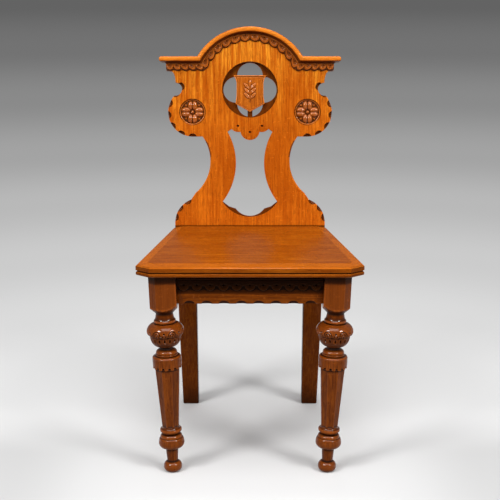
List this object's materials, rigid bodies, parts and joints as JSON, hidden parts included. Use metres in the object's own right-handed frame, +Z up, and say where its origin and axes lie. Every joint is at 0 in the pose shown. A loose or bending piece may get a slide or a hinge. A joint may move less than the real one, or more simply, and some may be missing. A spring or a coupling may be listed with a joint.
{
  "type": "hall chair",
  "caption": "Carved oak hall chair: solid seat with clipped corners, pierced plank back under an arched cornice, turned front legs and raked rear legs.",
  "frame": {"origin": "on the floor, below the centre of the chair's overall box", "axes": "+Z up, -Y the way a sitter faces, +X to the right in a view from the front"},
  "size_m": [0.452, 0.472, 0.8905],
  "materials": {
    "back_oak": "polished golden oak",
    "seat_oak": "polished oak",
    "moulding_oak": "polished oak",
    "carved_oak": "polished carved oak",
    "leg_oak": "polished dark oak",
    "rear_leg_oak": "polished dark oak",
    "rail_oak": "polished oak",
    "block_oak": "unpolished oak",
    "screw_steel": "dull steel"
  },
  "bodies": {
    "root": {"back_panel": "back_oak", "seat_board": "seat_oak", "cornice_arch": "moulding_oak", "cornice_left": "moulding_oak", "cornice_right": "moulding_oak", "cornice_return_left": "moulding_oak", "cornice_return_right": "moulding_oak", "lunette_band_arch": "carved_oak", "lunette_band_left": "carved_oak", "lunette_band_right": "carved_oak", "lunette_return_left": "carved_oak", "lunette_return_right": "carved_oak", "shield": "carved_oak", "rosette_left": "carved_oak", "rosette_right": "carved_oak", "front_leg_left": "leg_oak", "front_leg_right": "leg_oak", "rear_leg_left": "rear_leg_oak", "rear_leg_right": "rear_leg_oak", "front_rail": "rail_oak", "front_frieze": "rail_oak", "side_rail_left": "rail_oak", "side_rail_right": "rail_oak", "rear_rail": "rail_oak", "corner_block_front_left": "block_oak", "corner_block_front_right": "block_oak", "corner_block_rear_left": "block_oak", "corner_block_rear_right": "block_oak", "back_screw_1": "screw_steel", "back_screw_2": "screw_steel", "back_screw_3": "screw_steel", "seat_screw_front_left": "screw_steel", "seat_screw_front_right": "screw_steel", "seat_screw_rear_left": "screw_steel", "seat_screw_rear_right": "screw_steel"}
  },
  "joints": []
}
